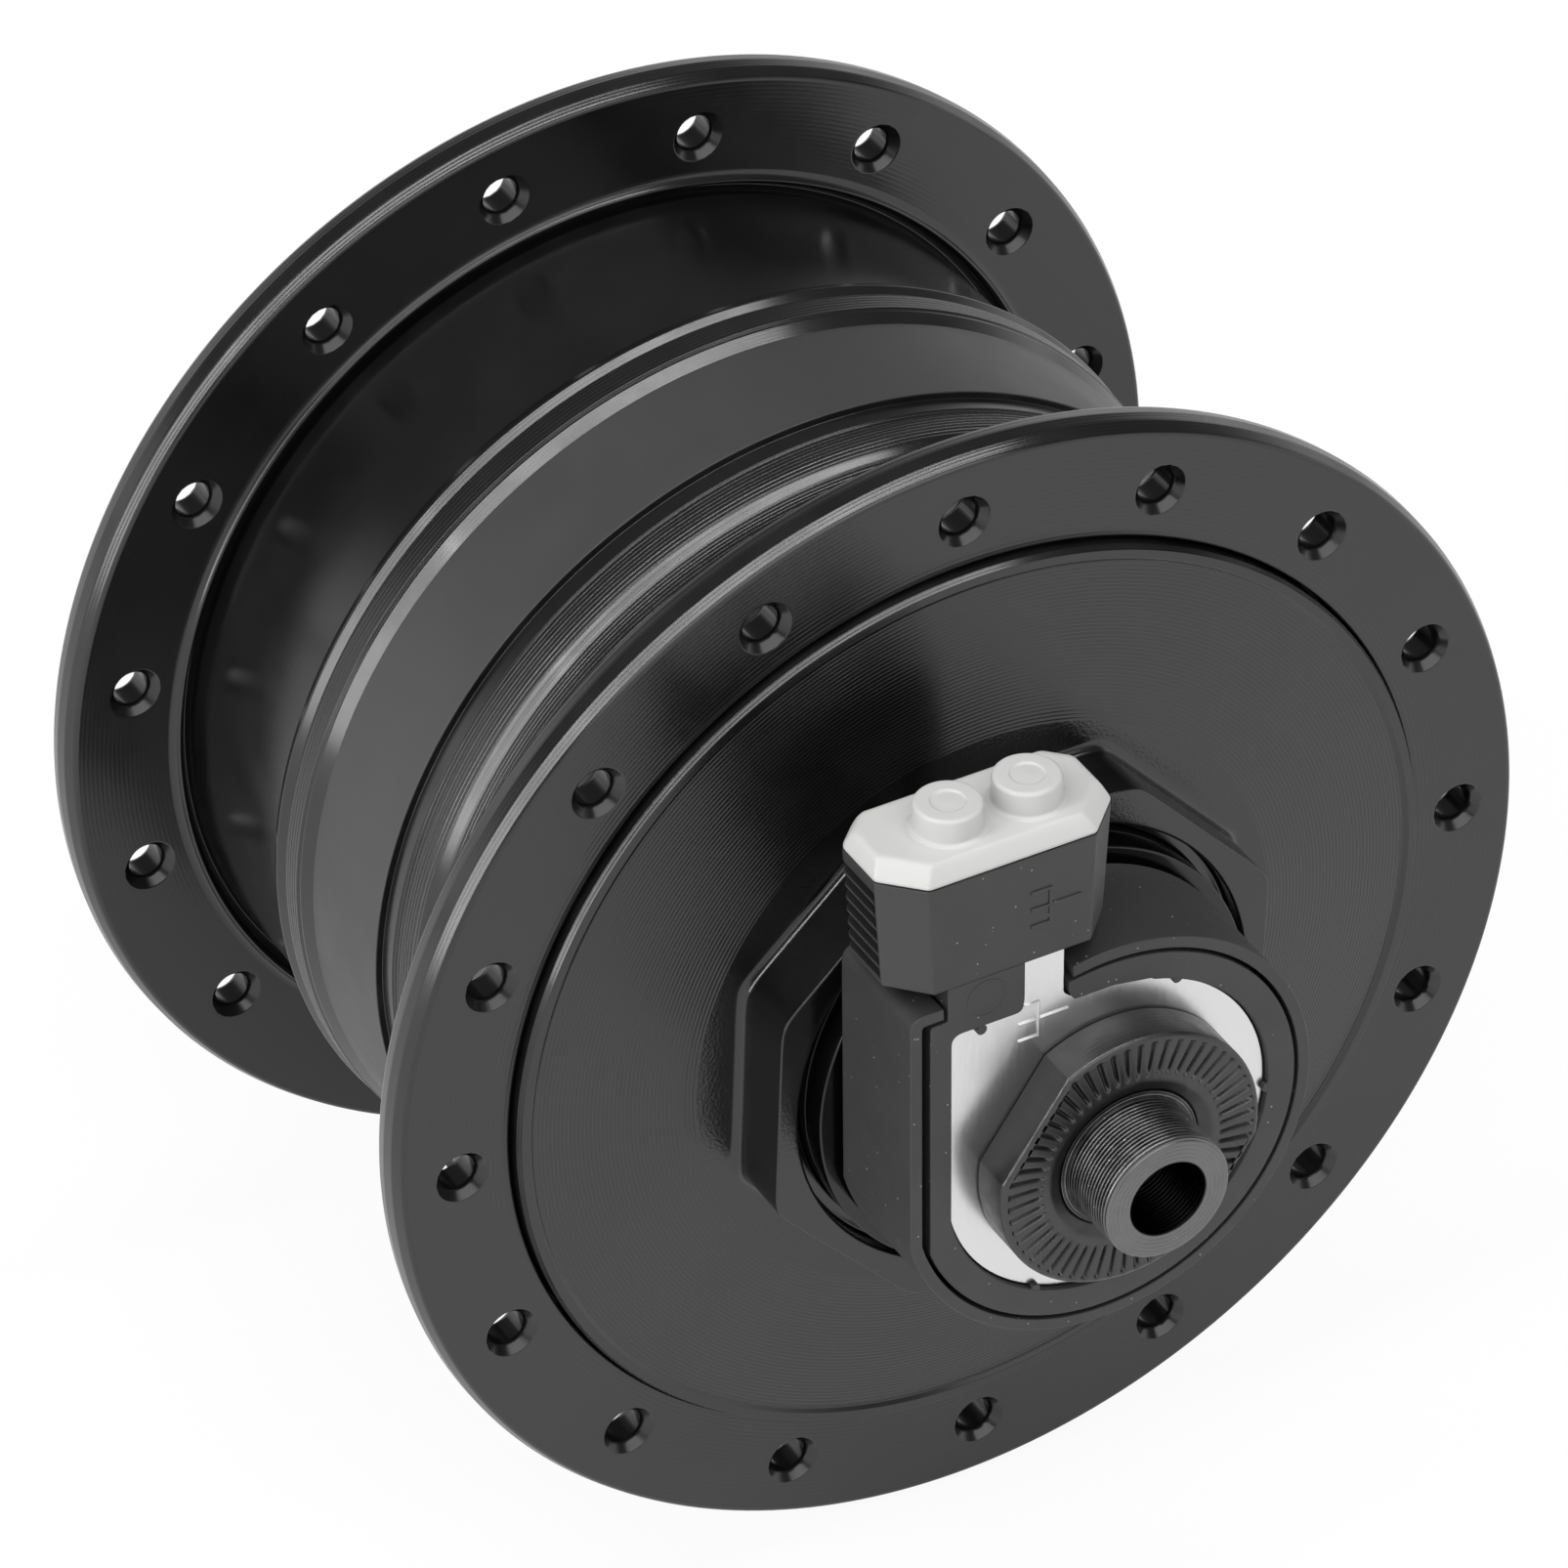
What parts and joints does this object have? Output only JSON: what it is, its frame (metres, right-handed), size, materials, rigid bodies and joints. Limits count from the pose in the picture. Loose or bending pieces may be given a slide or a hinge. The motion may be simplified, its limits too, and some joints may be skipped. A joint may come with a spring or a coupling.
{
  "type": "hub dynamo",
  "caption": "Bicycle front hub with a built-in generator: a flanged shell on ball bearings round a fixed axle, an end cap, a spline for a brake disc and a pull-off plug.",
  "frame": {"origin": "on the axle's axis, midway between the two locknut faces", "axes": "+Y along the axle from the plug's side to the brake's side, +Z the way the plug pulls off"},
  "size_m": [0.0832, 0.1088, 0.0832],
  "materials": {
    "black_oxide_steel": "turned steel, black oxide",
    "bearing_steel": "ground hardened steel",
    "zinc_steel": "zinc-plated steel",
    "stator_iron": "pressed soft iron",
    "black_nylon": "moulded plastic with a fine grain",
    "copper_wire": "enamelled copper wire",
    "wire_jacket": "soft insulation",
    "bright_plate": "bright plated sheet steel",
    "contact_brass": "plated brass sheet",
    "black_anodised": "turned aluminium, satin black anodised",
    "seal_rubber": "moulded rubber",
    "magnet_ferrite": "sintered ferrite",
    "pale_nylon": "pale moulded plastic"
  },
  "bodies": {
    "axle_assembly": {"axle": "black_oxide_steel", "right_cone": "bearing_steel", "left_cone": "bearing_steel", "right_spacer": "zinc_steel", "left_spacer": "zinc_steel", "right_locknut": "black_oxide_steel", "left_locknut": "black_oxide_steel", "right_dust_disc": "black_oxide_steel", "left_dust_disc": "black_oxide_steel", "stator_core": "stator_iron", "right_claw_ring": "stator_iron", "left_claw_ring": "stator_iron", "coil_bobbin": "black_nylon", "coil_winding": "copper_wire", "stator_nut": "zinc_steel", "coil_lead": "wire_jacket", "terminal_case": "black_nylon", "terminal_block": "black_nylon", "earth_plate": "bright_plate", "live_contact": "contact_brass"},
    "hub_body": {"hub_shell": "black_anodised", "end_cap": "black_anodised", "cap_o_ring": "seal_rubber", "right_cup": "bearing_steel", "left_cup": "bearing_steel", "right_seal": "seal_rubber", "left_seal": "seal_rubber", "magnet_yoke": "zinc_steel", "magnet_segments": "magnet_ferrite"},
    "right_bearing": {"right_balls": "bearing_steel", "right_cage": "zinc_steel"},
    "left_bearing": {"left_balls": "bearing_steel", "left_cage": "zinc_steel"},
    "plug": {"plug_cover": "black_nylon", "plug_contacts": "contact_brass"},
    "cap": {"plug_cap": "pale_nylon"}
  },
  "joints": [
    {"name": "hub_spin", "type": "hinge", "parent": "axle_assembly", "child": "hub_body", "pos_m": [0, 0, 0], "axis": [0, 1, 0], "continuous": true},
    {"name": "right_bearing_spin", "type": "hinge", "parent": "axle_assembly", "child": "right_bearing", "pos_m": [0, -0.031, 0], "axis": [0, 1, 0], "continuous": true},
    {"name": "left_bearing_spin", "type": "hinge", "parent": "axle_assembly", "child": "left_bearing", "pos_m": [0, 0.0365, 0], "axis": [0, 1, 0], "continuous": true},
    {"name": "plug_pull", "type": "slide", "parent": "axle_assembly", "child": "plug", "axis": [0, 0, 1], "range_m": [0, 0.01]},
    {"name": "cap_pull", "type": "slide", "parent": "plug", "child": "cap", "axis": [0, 0, 1], "range_m": [0, 0.006]}
  ],
  "couplings": [
    {"joint": "right_bearing_spin", "follows": "hub_spin", "ratio": 0.59},
    {"joint": "left_bearing_spin", "follows": "hub_spin", "ratio": 0.59}
  ]
}
